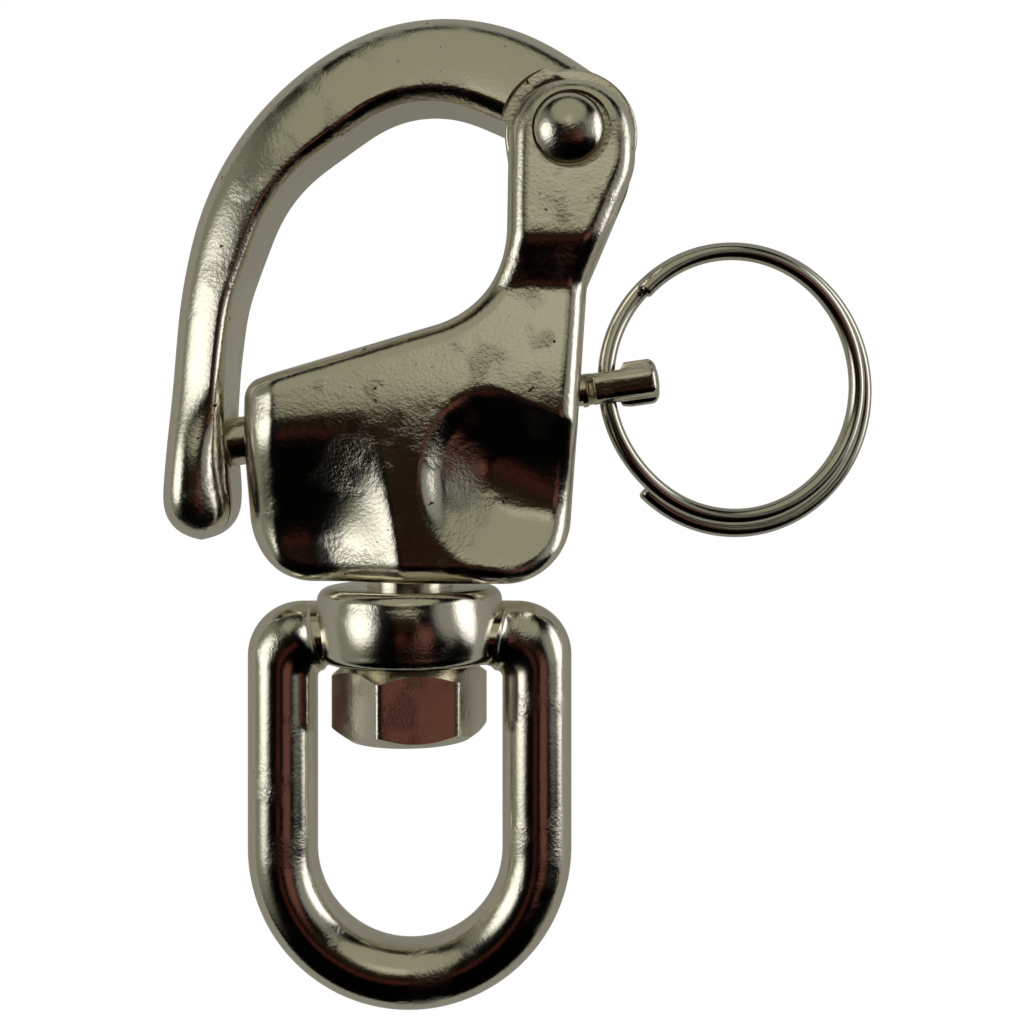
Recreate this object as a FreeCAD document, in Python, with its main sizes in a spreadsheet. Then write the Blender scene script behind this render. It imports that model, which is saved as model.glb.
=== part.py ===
"""Snap shackle with a swivel eye and a split ring, lying flat, as a parametric document.

X runs to the right, Y from the swivel eye towards the jaw, and Z up. The origin is the
centre of the eye's round end, on the swivel axis (Y) and in the shackle's middle plane.
All lengths are in millimetres and all angles in degrees.
"""
import FreeCAD, Part
import math
import os

import Sketcher

Vector = FreeCAD.Vector
Rotation = FreeCAD.Rotation
Placement = FreeCAD.Placement

doc = FreeCAD.newDocument("SnapShackle")
sheet = doc.addObject("Spreadsheet::Sheet", "Dimensions")

# Driving dimensions, grouped by piece.
DIMENSIONS = {
    # cast body: the block's outline, corner by corner, then its neck and ears
    "body_thick": 9.6, "rim_round": 1.5,
    "block_left": -11.3, "block_left_low": -11.1, "block_bottom": 18.9,
    "block_right": 12.5, "block_right_low": 11.1, "block_right_top": 39.6,
    "block_shoulder": 32.75, "low_corner_round": 4.6, "top_corner_round": 1.5,
    "neck_left": 6.9, "neck_root": 38.2, "neck_root_round": 7.0, "neck_blend_round": 4.0,
    "ear_left": 7.15, "ear_right": 15.8, "ear_top": 53.6, "ear_round": 4.3,
    "ear_heel": 47.4, "ear_heel_round": 5.0,
    "fork_gap": 5.3, "fork_floor": 44.9, "slot_margin": 4.0,
    # the dished hollows on both faces of the block
    "hollow_left_pos": -5.4, "hollow_left_level": 24.9,
    "hollow_right_pos": 6.2, "hollow_right_level": 25.9,
    "hollow_width": 6.9, "hollow_length": 7.2, "hollow_height": 4.0, "hollow_depth": 1.1,
    # jaw pivot and rivet
    "pivot_pos": 11.4, "pivot_level": 49.9,
    "rivet_radius": 1.8, "dome_radius": 2.45, "dome_height": 1.45,
    "sink_radius": 2.8, "sink_depth": 0.9,
    # jaw: outer corners from the pivot round to the lug, then the inner corners
    "jaw_thick": 6.6, "jaw_round": 1.5, "knuckle_radius": 4.65, "knuckle_thick": 5.0,
    "shoulder_radius": 4.95, "pivot_gap": 0.05,
    "bow_end_pos": 12.2, "bow_end_level": 55.6,
    "bow_top_pos": 2.8, "bow_top_level": 60.95, "bow_top_round": 15.1,
    "bow_side_pos": -13.4, "bow_side_level": 51.75, "bow_side_round": 22.0,
    "bow_low_pos": -16.15, "bow_low_level": 38.8, "bow_low_round": 40.0,
    "lug_outer_pos": -17.55, "lug_end_level": 21.7, "lug_outer_round": 2.5,
    "lug_inner_pos": -12.0, "lug_inner_round": 2.5,
    "bay_low_pos": -12.85, "bay_low_level": 31.5,
    "bay_side_pos": -12.0, "bay_side_level": 38.4, "bay_side_round": 12.0,
    "bay_corner_pos": -9.0, "bay_corner_level": 46.5, "bay_corner_round": 10.7,
    "bay_top_pos": 0.7, "bay_top_level": 53.45, "bay_top_round": 8.0,
    "bay_end_pos": 11.0, "bay_end_level": 48.8,
    "bay_centre_pos": 0.0, "bay_centre_level": 38.0, "bay_reach": 15.1,
    "lug_swell_pos": -14.7, "lug_swell_level": 26.3,
    "lug_swell_width": 2.85, "lug_swell_length": 4.9, "lug_swell_height": 3.8,
    # release pin, measured along its own axis from the swivel axis
    "pin_level": 30.5, "pin_slope": 8.3,
    "nose_tip": -13.15, "nose_end": -2.5, "nose_radius": 1.7, "nose_edge": 0.2,
    "stem_radius": 1.05, "bore_gap": 0.05, "bore_end": 8.6,
    "bore_open_left": -12.3, "bore_open_right": 13.6,
    "mouth_radius": 2.25, "mouth_depth": 1.2, "mouth_face": 12.4,
    "tab_eye_pos": 14.05, "tab_eye_radius": 1.8, "tab_hole_radius": 1.3,
    "tab_end": 17.85, "tab_width": 3.25, "tab_thick": 2.8, "tab_flare": 15.6,
    "tab_side_low": -1.62, "tab_side_high": 1.62, "tab_root_low": -1.05, "tab_root_high": 1.05,
    "tab_corner": 0.9, "tab_flare_round": 2.0, "tab_round": 0.7,
    # the lug's dished mouth and socket, on the same axis
    "dish_floor": -13.2, "dish_floor_radius": 1.9, "dish_flare_radius": 4.4,
    "dish_flare_depth": 1.5, "socket_end": -15.6,
    # return spring
    "spring_wire": 0.45, "spring_radius": 1.42, "spring_pitch": 1.3,
    # split ring
    "ring_wire_radius": 0.6, "ring_radius": 10.2, "ring_stack": 0.58, "ring_droop": 14.5,
    # swivel eye
    "eye_wire_radius": 2.45, "eye_radius": 9.02, "eye_bar_level": 14.95, "eye_corner": 2.6,
    "boss_radius": 6.7, "boss_low": 13.2, "boss_high": 17.95, "boss_edge": 0.9,
    "swivel_gap": 0.07, "seat_radius": 6.1,
    # swivel bolt
    "bolt_radius": 3.0, "bolt_end": 27.2, "head_flats": 9.7, "head_low": 7.8,
    "head_high": 13.1, "head_turn": 12.5,
    "bevel_inner": 4.6, "bevel_outer": 6.2, "bevel_low": 8.7, "bevel_high": 12.2,
}
for row, (alias, size) in enumerate(DIMENSIONS.items(), start=1):
    sheet.set(f"A{row}", alias)
    sheet.set(f"B{row}", str(size))
    sheet.setAlias(f"B{row}", alias)
doc.recompute()


def cell(alias):
    """The value of one driving dimension."""
    return sheet.get(alias)


def bind(thing, prop, formula):
    """Tie a property to a formula of sheet cells, each written as <alias>."""
    thing.setExpression(prop, formula.replace("<", "Dimensions.").replace(">", ""))


def new_body(label):
    """An empty body whose label is its node's name."""
    body = doc.addObject("PartDesign::Body", label)
    body.Label = label
    return body


def new_sketch(body, name, role="XY_Plane"):
    """A sketch on one of the body's own origin planes."""
    sketch = body.newObject("Sketcher::SketchObject", name)
    plane = [f for f in body.Origin.OriginFeatures if f.Role == role]
    sketch.AttachmentSupport = [(plane[0], "")]
    sketch.MapMode = "FlatFace"
    return sketch


def constrain(sketch, formula, *args):
    """Add a dimension to a sketch and tie it to a formula of sheet cells."""
    index = sketch.addConstraint(Sketcher.Constraint(*args))
    bind(sketch, f"Constraints[{index}]", formula)


def rounded_corner(before, corner, after, radius):
    """Centre and the two tangent points of an arc that rounds a corner."""
    to_before = (before - corner).normalize()
    to_after = (after - corner).normalize()
    half = to_before.getAngle(to_after) / 2
    middle = (to_before + to_after).normalize()
    reach = radius / math.tan(half)
    centre = corner + middle * (radius / math.sin(half))
    return centre, corner + to_before * reach, corner + to_after * reach


def outline(sketch, corners):
    """Draw a closed outline of straight runs and tangent arcs, tied to the sheet.

    Each corner is (cell for x, cell for y, cell for its radius); a radius of None leaves
    the corner sharp.
    """
    spots = [Vector(cell(x), cell(y), 0) for x, y, _ in corners]
    count = len(corners)
    starts, ends, arcs = [], [], []
    for i, (_, _, radius) in enumerate(corners):
        if radius is None:
            starts.append(spots[i])
            ends.append(spots[i])
            arcs.append(None)
            continue
        centre, first, last = rounded_corner(
            spots[i - 1], spots[i], spots[(i + 1) % count], cell(radius))
        starts.append(first)
        ends.append(last)
        arcs.append(centre)
    lines = [sketch.addGeometry(Part.LineSegment(ends[i], starts[(i + 1) % count]), False)
             for i in range(count)]
    for i, (x, y, radius) in enumerate(corners):
        before, after = lines[i - 1], lines[i]
        if radius is None:
            sketch.addConstraint(Sketcher.Constraint("Coincident", before, 2, after, 1))
            constrain(sketch, f"<{x}>", "DistanceX", -1, 1, after, 1, cell(x))
            constrain(sketch, f"<{y}>", "DistanceY", -1, 1, after, 1, cell(y))
            continue
        turn_first = math.atan2(starts[i].y - arcs[i].y, starts[i].x - arcs[i].x)
        turn_last = math.atan2(ends[i].y - arcs[i].y, ends[i].x - arcs[i].x)
        left_turn = (turn_last - turn_first) % (2 * math.pi) < math.pi
        low, high = (turn_first, turn_last) if left_turn else (turn_last, turn_first)
        circle = Part.Circle(arcs[i], Vector(0, 0, 1), cell(radius))
        arc = sketch.addGeometry(Part.ArcOfCircle(circle, low, high), False)
        near, far = (1, 2) if left_turn else (2, 1)
        corner = sketch.addGeometry(Part.Point(spots[i]), True)
        sketch.addConstraint([
            Sketcher.Constraint("Tangent", before, 2, arc, near),
            Sketcher.Constraint("Tangent", arc, far, after, 1),
            Sketcher.Constraint("PointOnObject", corner, 1, before),
            Sketcher.Constraint("PointOnObject", corner, 1, after)])
        constrain(sketch, f"<{radius}>", "Radius", arc, cell(radius))
        constrain(sketch, f"<{x}>", "DistanceX", -1, 1, corner, 1, cell(x))
        constrain(sketch, f"<{y}>", "DistanceY", -1, 1, corner, 1, cell(y))


def pad(body, name, sketch, thickness):
    """Pad a sketch evenly to both sides of its plane."""
    feature = body.newObject("PartDesign::Pad", name)
    feature.Profile = sketch
    feature.Midplane = True
    bind(feature, "Length", thickness)
    doc.recompute()
    return feature


def primitive(body, kind, name, sizes, place):
    """Add or take away a primitive solid whose sizes are tied to the sheet."""
    feature = body.newObject(f"PartDesign::{kind}", name)
    for prop, formula in sizes.items():
        bind(feature, prop, formula)
    feature.Placement = place
    doc.recompute()
    return feature


def round_edges(body, name, base, radius, wanted):
    """Fillet the edges of a feature that wanted(edge) picks."""
    names = [f"Edge{i}" for i, edge in enumerate(base.Shape.Edges, start=1) if wanted(edge)]
    feature = body.newObject("PartDesign::Fillet", name)
    feature.Base = (base, names)
    bind(feature, "Radius", radius)
    doc.recompute()
    return feature


def on_faces(edge, height):
    """True if the edge lies flat at this height above or below the middle plane."""
    box = edge.BoundBox
    flat = box.ZLength < 1e-4
    return flat and abs(abs(box.Center.z) - height) < 1e-4


def pin_place(distance):
    """Placement at a distance along the release pin's axis, with +Z along the axis."""
    slope = Rotation(Vector(0, 0, 1), cell("pin_slope"))
    along = slope.multVec(Vector(1, 0, 0))
    spot = Vector(0, cell("pin_level"), 0) + along * distance
    return Placement(spot, slope.multiply(Rotation(Vector(0, 1, 0), 90)))


UP = Rotation()
ALONG_Y = Rotation(Vector(1, 0, 0), -90)
HALF_BODY = cell("body_thick") / 2


def build_shackle_body():
    """Cast block, neck and fork ears, with the bores, hollows and the slot for the jaw."""
    body = new_body("shackle_body")
    sketch = new_sketch(body, "BodyOutline")
    outline(sketch, [
        ("block_left_low", "block_bottom", "low_corner_round"),
        ("block_left", "block_shoulder", "top_corner_round"),
        ("neck_left", "neck_root", "neck_root_round"),
        ("ear_left", "ear_top", "ear_round"),
        ("ear_right", "ear_top", "ear_round"),
        ("ear_right", "ear_heel", "ear_heel_round"),
        ("block_right", "block_right_top", "neck_blend_round"),
        ("block_right_low", "block_bottom", "low_corner_round")])
    block = pad(body, "Block", sketch, "<body_thick>")
    round_edges(body, "Rim", block, "<rim_round>", lambda edge: on_faces(edge, HALF_BODY))

    corner = Vector(cell("ear_left") - cell("slot_margin"), cell("fork_floor"), -cell("fork_gap") / 2)
    primitive(body, "SubtractiveBox", "ForkSlot",
              {"Length": "<ear_right> - <ear_left> + 2 * <slot_margin>",
               "Width": "<ear_top> - <fork_floor> + <slot_margin>", "Height": "<fork_gap>"},
              Placement(corner, UP))

    pivot = Vector(cell("pivot_pos"), cell("pivot_level"), 0)
    primitive(body, "SubtractiveCylinder", "RivetHole",
              {"Radius": "<rivet_radius>", "Height": "<body_thick>"},
              Placement(pivot - Vector(0, 0, HALF_BODY), UP))
    for side, name in ((1, "Front"), (-1, "Back")):
        level = HALF_BODY - cell("sink_depth") if side > 0 else -HALF_BODY
        primitive(body, "SubtractiveCylinder", f"RivetSink{name}",
                  {"Radius": "<sink_radius>", "Height": "<sink_depth>"},
                  Placement(pivot + Vector(0, 0, level), UP))
        centre = side * (HALF_BODY + cell("hollow_height") - cell("hollow_depth"))
        for hand in ("left", "right"):
            spot = Vector(cell(f"hollow_{hand}_pos"), cell(f"hollow_{hand}_level"), centre)
            primitive(body, "SubtractiveEllipsoid", f"Hollow{name}{hand.title()}",
                      {"Radius1": "<hollow_height>", "Radius2": "<hollow_width>",
                       "Radius3": "<hollow_length>"}, Placement(spot, UP))

    primitive(body, "SubtractiveCylinder", "NoseBore",
              {"Radius": "<nose_radius> + <bore_gap>", "Height": "<bore_end> - <bore_open_left>"},
              pin_place(cell("bore_open_left")))
    primitive(body, "SubtractiveCylinder", "StemBore",
              {"Radius": "<stem_radius> + <bore_gap>", "Height": "<bore_open_right> - <bore_end>"},
              pin_place(cell("bore_end")))
    primitive(body, "SubtractiveCone", "BoreMouth",
              {"Radius1": "<stem_radius> + <bore_gap>", "Radius2": "<mouth_radius>",
               "Height": "<mouth_depth>"}, pin_place(cell("mouth_face") - cell("mouth_depth")))
    primitive(body, "SubtractiveCylinder", "BoltHole",
              {"Radius": "<bolt_radius>", "Height": "<bolt_end> - <block_bottom>"},
              Placement(Vector(0, cell("block_bottom"), 0), ALONG_Y))
    return body


def build_jaw():
    """Curved bow with a flat inner wall, the pivot knuckle and the socketed end lug."""
    body = new_body("jaw")
    sketch = new_sketch(body, "BowOutline")
    outline(sketch, [
        ("bow_end_pos", "bow_end_level", None),
        ("bow_top_pos", "bow_top_level", "bow_top_round"),
        ("bow_side_pos", "bow_side_level", "bow_side_round"),
        ("bow_low_pos", "bow_low_level", "bow_low_round"),
        ("lug_outer_pos", "lug_end_level", "lug_outer_round"),
        ("lug_inner_pos", "lug_end_level", "lug_inner_round"),
        ("bay_low_pos", "bay_low_level", None),
        ("bay_side_pos", "bay_side_level", "bay_side_round"),
        ("bay_corner_pos", "bay_corner_level", "bay_corner_round"),
        ("bay_top_pos", "bay_top_level", "bay_top_round"),
        ("bay_end_pos", "bay_end_level", None)])
    bow = pad(body, "Bow", sketch, "<jaw_thick>")
    half = cell("jaw_thick") / 2
    pivot = Vector(cell("pivot_pos"), cell("pivot_level"), 0)
    bay_centre = Vector(cell("bay_centre_pos"), cell("bay_centre_level"), 0)

    def is_outer(edge):
        """True on the faces' edges along the bow's outer side and round the lug."""
        middle = edge.valueAt((edge.FirstParameter + edge.LastParameter) / 2)
        flat = Vector(middle.x, middle.y, 0)
        in_fork = middle.x > cell("bay_end_pos") and middle.y < cell("bow_end_level")
        far_out = flat.distanceToPoint(bay_centre) > cell("bay_reach")
        return on_faces(edge, half) and far_out and not in_fork

    round_edges(body, "OuterRound", bow, "<jaw_round>", is_outer)
    for side, name in ((1, "Front"), (-1, "Back")):
        level = cell("knuckle_thick") / 2 if side > 0 else -half
        primitive(body, "SubtractiveCylinder", f"Shoulder{name}",
                  {"Radius": "<shoulder_radius>", "Height": "(<jaw_thick> - <knuckle_thick>) / 2"},
                  Placement(pivot + Vector(0, 0, level), UP))
    primitive(body, "AdditiveCylinder", "Knuckle",
              {"Radius": "<knuckle_radius>", "Height": "<knuckle_thick>"},
              Placement(pivot - Vector(0, 0, cell("knuckle_thick") / 2), UP))
    primitive(body, "SubtractiveCylinder", "PivotBore",
              {"Radius": "<rivet_radius> + <pivot_gap>", "Height": "<knuckle_thick>"},
              Placement(pivot - Vector(0, 0, cell("knuckle_thick") / 2), UP))
    swell = Vector(cell("lug_swell_pos"), cell("lug_swell_level"), 0)
    primitive(body, "AdditiveEllipsoid", "LugSwell",
              {"Radius1": "<lug_swell_height>", "Radius2": "<lug_swell_width>",
               "Radius3": "<lug_swell_length>"}, Placement(swell, UP))
    primitive(body, "SubtractiveCone", "LugDish",
              {"Radius1": "<dish_floor_radius>", "Radius2": "<dish_flare_radius>",
               "Height": "<dish_flare_depth>"}, pin_place(cell("dish_floor")))
    primitive(body, "SubtractiveCylinder", "LugSocket",
              {"Radius": "<nose_radius> + <bore_gap>", "Height": "<dish_floor> - <socket_end>"},
              pin_place(cell("socket_end")))
    return body


def build_jaw_rivet():
    """Rivet shaft with a dome at each end, seated in the ears' sinks."""
    body = new_body("jaw_rivet")
    pivot = Vector(cell("pivot_pos"), cell("pivot_level"), 0)
    floor = HALF_BODY - cell("sink_depth")
    primitive(body, "AdditiveCylinder", "Shaft",
              {"Radius": "<rivet_radius>", "Height": "<body_thick> - 2 * <sink_depth>"},
              Placement(pivot - Vector(0, 0, floor), UP))
    for side, name in ((1, "Front"), (-1, "Back")):
        turn = UP if side > 0 else Rotation(Vector(1, 0, 0), 180)
        dome = primitive(body, "AdditiveEllipsoid", f"Dome{name}",
                         {"Radius1": "<dome_height>", "Radius2": "<dome_radius>",
                          "Radius3": "<dome_radius>"},
                         Placement(pivot + Vector(0, 0, side * floor), turn))
        dome.Angle1 = 0
        doc.recompute()
    return body


def build_plunger_pin():
    """Release pin along its own X axis: nose, stem, and the flared tab with its ring hole."""
    body = new_body("plunger_pin")
    forward = Rotation(Vector(0, 1, 0), 90)
    primitive(body, "AdditiveCylinder", "Stem",
              {"Radius": "<stem_radius>", "Height": "<tab_flare> - <nose_end>"},
              Placement(Vector(cell("nose_end"), 0, 0), forward))
    nose = primitive(body, "AdditiveCylinder", "Nose",
                     {"Radius": "<nose_radius>", "Height": "<nose_end> - <nose_tip>"},
                     Placement(Vector(cell("nose_tip"), 0, 0), forward))
    round_edges(body, "NoseTip", nose, "<nose_edge>",
                lambda edge: abs(edge.BoundBox.Center.x - cell("nose_tip")) < 1e-4)
    across = Placement(Vector(cell("tab_eye_pos"), cell("stem_radius"), 0),
                       Rotation(Vector(1, 0, 0), 90))
    primitive(body, "AdditiveCylinder", "TabEye",
              {"Radius": "<tab_eye_radius>", "Height": "2 * <stem_radius>"}, across)
    sketch = new_sketch(body, "TabOutline")
    outline(sketch, [
        ("tab_eye_pos", "tab_root_low", None),
        ("tab_flare", "tab_side_low", "tab_flare_round"),
        ("tab_end", "tab_side_low", "tab_corner"),
        ("tab_end", "tab_side_high", "tab_corner"),
        ("tab_flare", "tab_side_high", "tab_flare_round"),
        ("tab_eye_pos", "tab_root_high", None)])
    tab = pad(body, "Tab", sketch, "<tab_thick>")
    half = cell("tab_thick") / 2
    round_edges(body, "TabRound", tab, "<tab_round>",
                lambda edge: on_faces(edge, half) and edge.BoundBox.XMax > cell("tab_flare"))
    square_to_shackle = Rotation(Vector(0, 0, 1), -cell("pin_slope"))
    drill = square_to_shackle.multiply(Rotation(Vector(1, 0, 0), 90))
    far_side = square_to_shackle.multVec(Vector(0, cell("tab_width"), 0))
    primitive(body, "SubtractiveCylinder", "RingHole",
              {"Radius": "<tab_hole_radius>", "Height": "2 * <tab_width>"},
              Placement(Vector(cell("tab_eye_pos"), 0, 0) + far_side, drill))
    body.Placement = Placement(Vector(0, cell("pin_level"), 0),
                               Rotation(Vector(0, 0, 1), cell("pin_slope")))
    return body


def build_plunger_spring():
    """Return spring round the stem, between the nose's shoulder and the bore's end."""
    helix = doc.addObject("Part::Helix", "SpringPath")
    bind(helix, "Pitch", "<spring_pitch>")
    bind(helix, "Height", "<bore_end> - <nose_end> - <spring_wire> - 2 * <bore_gap>")
    bind(helix, "Radius", "<spring_radius>")
    wire = doc.addObject("Part::Circle", "SpringWire")
    bind(wire, "Radius", "<spring_wire> / 2")
    wire.Placement = Placement(Vector(cell("spring_radius"), 0, 0), Rotation(Vector(1, 0, 0), 90))
    spring = doc.addObject("Part::Sweep", "plunger_spring")
    spring.Sections = [wire]
    spring.Spine = (helix, ["Edge1"])
    spring.Solid = True
    spring.Frenet = True
    spring.Label = "plunger_spring"
    start = cell("nose_end") + cell("spring_wire") / 2 + cell("bore_gap")
    spring.Placement = pin_place(start)
    return spring


def build_split_ring():
    """The ring's two turns of wire, drooping from the tab's hole to the table."""
    droop = Rotation(Vector(0, 1, 0), cell("ring_droop"))
    slope = Rotation(Vector(0, 0, 1), cell("pin_slope"))
    hole = Vector(0, cell("pin_level"), 0) + slope.multVec(Vector(cell("tab_eye_pos"), 0, 0))
    turns = []
    for side, name in ((1, "Upper"), (-1, "Lower")):
        turn = doc.addObject("Part::Torus", f"Ring{name}Turn")
        bind(turn, "Radius1", "<ring_radius>")
        bind(turn, "Radius2", "<ring_wire_radius>")
        centre = Vector(cell("ring_radius"), 0, side * cell("ring_stack"))
        turn.Placement = Placement(hole + droop.multVec(centre), droop)
        turns.append(turn)
    ring = doc.addObject("Part::MultiFuse", "split_ring")
    ring.Shapes = turns
    ring.Label = "split_ring"
    return ring


def build_swivel_bail():
    """D-shaped swivel eye: a bent round bar with the bored boss in its straight side."""
    body = new_body("swivel_bail")
    boss = primitive(body, "AdditiveCylinder", "Boss",
                     {"Radius": "<boss_radius>", "Height": "<boss_high> - <boss_low>"},
                     Placement(Vector(0, cell("boss_low"), 0), ALONG_Y))
    round_edges(body, "BossRims", boss, "<boss_edge>", lambda edge: edge.BoundBox.YLength < 1e-4)
    path = new_sketch(body, "EyePath")
    radius, level, corner = cell("eye_radius"), cell("eye_bar_level"), cell("eye_corner")
    left, right = Vector(-radius, 0, 0), Vector(radius, 0, 0)
    out = Vector(0, 0, 1)
    quarter, half_turn = math.pi / 2, math.pi
    low_arc = Part.ArcOfCircle(Part.Circle(Vector(0, 0, 0), out, radius), half_turn, 2 * half_turn)
    right_arc = Part.ArcOfCircle(
        Part.Circle(Vector(radius - corner, level - corner, 0), out, corner), 0, quarter)
    left_arc = Part.ArcOfCircle(
        Part.Circle(Vector(corner - radius, level - corner, 0), out, corner), quarter, half_turn)
    low, rise, near, bar, far, fall = path.addGeometry([
        low_arc,
        Part.LineSegment(right, Vector(radius, level - corner, 0)),
        right_arc,
        Part.LineSegment(Vector(radius - corner, level, 0), Vector(corner - radius, level, 0)),
        left_arc,
        Part.LineSegment(Vector(-radius, level - corner, 0), left)], False)
    path.addConstraint([
        Sketcher.Constraint("Coincident", low, 3, -1, 1),
        Sketcher.Constraint("Horizontal", low, 1, low, 2),
        Sketcher.Constraint("Horizontal", bar),
        Sketcher.Constraint("Equal", near, far),
        Sketcher.Constraint("Tangent", low, 2, rise, 1),
        Sketcher.Constraint("Tangent", rise, 2, near, 1),
        Sketcher.Constraint("Tangent", near, 2, bar, 1),
        Sketcher.Constraint("Tangent", bar, 2, far, 1),
        Sketcher.Constraint("Tangent", far, 2, fall, 1),
        Sketcher.Constraint("Coincident", fall, 2, low, 1)])
    constrain(path, "<eye_radius>", "Radius", low, radius)
    constrain(path, "<eye_corner>", "Radius", near, corner)
    constrain(path, "<eye_bar_level>", "DistanceY", -1, 1, bar, 1, level)

    section = new_sketch(body, "EyeSection", "XZ_Plane")
    ring = section.addGeometry(Part.Circle(left, out, cell("eye_wire_radius")), False)
    section.addConstraint(Sketcher.Constraint("PointOnObject", ring, 3, -1))
    constrain(section, "<eye_wire_radius>", "Radius", ring, cell("eye_wire_radius"))
    constrain(section, "-<eye_radius>", "DistanceX", -1, 1, ring, 3, -radius)
    pipe = body.newObject("PartDesign::AdditivePipe", "EyeBar")
    pipe.Profile = section
    pipe.Spine = (path, [])
    doc.recompute()

    primitive(body, "SubtractiveCylinder", "HeadSeat",
              {"Radius": "<seat_radius>", "Height": "<eye_wire_radius>"},
              Placement(Vector(0, cell("boss_low") - cell("eye_wire_radius"), 0), ALONG_Y))
    primitive(body, "SubtractiveCylinder", "SwivelBore",
              {"Radius": "<bolt_radius> + <swivel_gap>", "Height": "<boss_high> - <boss_low>"},
              Placement(Vector(0, cell("boss_low"), 0), ALONG_Y))
    return body


def build_swivel_bolt():
    """Hex-headed bolt whose shank runs through the boss and up into the body."""
    body = new_body("swivel_bolt")
    turned = ALONG_Y.multiply(Rotation(Vector(0, 0, 1), cell("head_turn")))
    primitive(body, "AdditivePrism", "Head",
              {"Circumradius": "<head_flats> / sqrt(3)", "Height": "<head_high> - <head_low>"},
              Placement(Vector(0, cell("head_low"), 0), turned))
    primitive(body, "AdditiveCylinder", "Shank",
              {"Radius": "<bolt_radius>", "Height": "<bolt_end> - <head_high>"},
              Placement(Vector(0, cell("head_high"), 0), ALONG_Y))
    axis = [f for f in body.Origin.OriginFeatures if f.Role == "Y_Axis"]
    for end in ("low", "high"):
        sketch = new_sketch(body, f"Bevel{end.title()}Section")
        outline(sketch, [
            ("bevel_inner", f"head_{end}", None),
            ("bevel_outer", f"head_{end}", None),
            ("bevel_outer", f"bevel_{end}", None)])
        bevel = body.newObject("PartDesign::Groove", f"Bevel{end.title()}")
        bevel.Profile = sketch
        bevel.ReferenceAxis = (axis[0], [""])
        bevel.Angle = 360
        doc.recompute()
    return body


PIECES = [build_shackle_body(), build_jaw(), build_jaw_rivet(), build_plunger_pin(),
          build_plunger_spring(), build_split_ring(), build_swivel_bail(), build_swivel_bolt()]
doc.recompute()

failed = [item.Name for item in doc.Objects if {"Invalid", "Error"} & set(item.State)]
if failed:
    raise RuntimeError(f"features failed: {failed}")
for piece in PIECES:
    if piece.Shape.isNull() or not piece.Shape.isValid() or len(piece.Shape.Solids) != 1:
        raise RuntimeError(f"{piece.Label} is not one valid solid")
    print(f"{piece.Label}: {piece.Shape.Volume:.1f} cubic mm")

os.makedirs("parts", exist_ok=True)
for piece in PIECES:
    piece.Shape.exportStep(f"parts/{piece.Label}.step")
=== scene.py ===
"""Snap shackle with a swivel eye and a split ring, finished as polished stainless castings.

Each sub-assembly is a class that holds its sizes in millimetres, works out its surfaces as
whole arrays and dresses them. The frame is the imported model's: X to the right, Y from the
swivel eye towards the jaw, Z up, with the origin at the centre of the eye's round end.
"""
import logging
import math
from dataclasses import dataclass, field
from enum import Enum

import bmesh
import bpy
import numpy as np
from mathutils import Matrix, Vector


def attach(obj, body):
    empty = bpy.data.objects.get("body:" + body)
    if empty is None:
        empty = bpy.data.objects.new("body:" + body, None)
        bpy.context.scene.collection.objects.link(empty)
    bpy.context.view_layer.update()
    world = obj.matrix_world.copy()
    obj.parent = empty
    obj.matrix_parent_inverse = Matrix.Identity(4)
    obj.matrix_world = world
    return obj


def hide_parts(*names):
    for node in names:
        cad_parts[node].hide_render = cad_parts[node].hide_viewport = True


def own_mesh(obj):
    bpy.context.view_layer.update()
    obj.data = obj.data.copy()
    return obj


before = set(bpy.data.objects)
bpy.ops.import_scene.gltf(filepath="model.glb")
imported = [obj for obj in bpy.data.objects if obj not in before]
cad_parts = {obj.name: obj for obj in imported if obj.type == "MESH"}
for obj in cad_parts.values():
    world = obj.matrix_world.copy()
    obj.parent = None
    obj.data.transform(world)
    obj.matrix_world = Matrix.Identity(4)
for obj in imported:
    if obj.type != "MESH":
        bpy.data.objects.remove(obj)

log = logging.getLogger("snap_shackle")

MM = 0.001
WELD = 0.0012 * MM
SHARP_ANGLE = math.radians(32)
ARC_POINTS = 48
BORE_POINTS = 96


class Sides(Enum):
    """How a grid of points closes on itself."""

    OPEN = "open"
    RING = "ring"
    TORUS = "torus"


class MaterialSlot(Enum):
    """Names of the material slots."""

    CAST = "cast_stainless"
    TURNED = "turned_stainless"
    SPRING = "spring_wire"


def linear(hex_colour: str) -> tuple[float, float, float, float]:
    """Turn an sRGB hex colour to linear light.

    Args:
        hex_colour: six hex digits after a hash sign.

    Returns:
        Red, green, blue and an alpha of one.
    """
    channels = [int(hex_colour[i : i + 2], 16) / 255 for i in (1, 3, 5)]
    lit = [c / 12.92 if c <= 0.04045 else ((c + 0.055) / 1.055) ** 2.4 for c in channels]
    return (*lit, 1.0)


def add_node(
    tree: bpy.types.NodeTree, kind: str, inputs: dict | None = None, **settings
) -> bpy.types.Node:
    """Add a node with its settings, socket values and links.

    Args:
        tree: the node tree that takes the node.
        kind: the node's type name.
        inputs: value or output socket by input name or index.
        settings: the node's own properties.

    Returns:
        The new node.
    """
    node = tree.nodes.new(kind)
    for name, value in settings.items():
        setattr(node, name, value)
    for key, value in (inputs or {}).items():
        if isinstance(value, bpy.types.NodeSocket):
            tree.links.new(value, node.inputs[key])
        else:
            node.inputs[key].default_value = value
    return node


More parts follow.
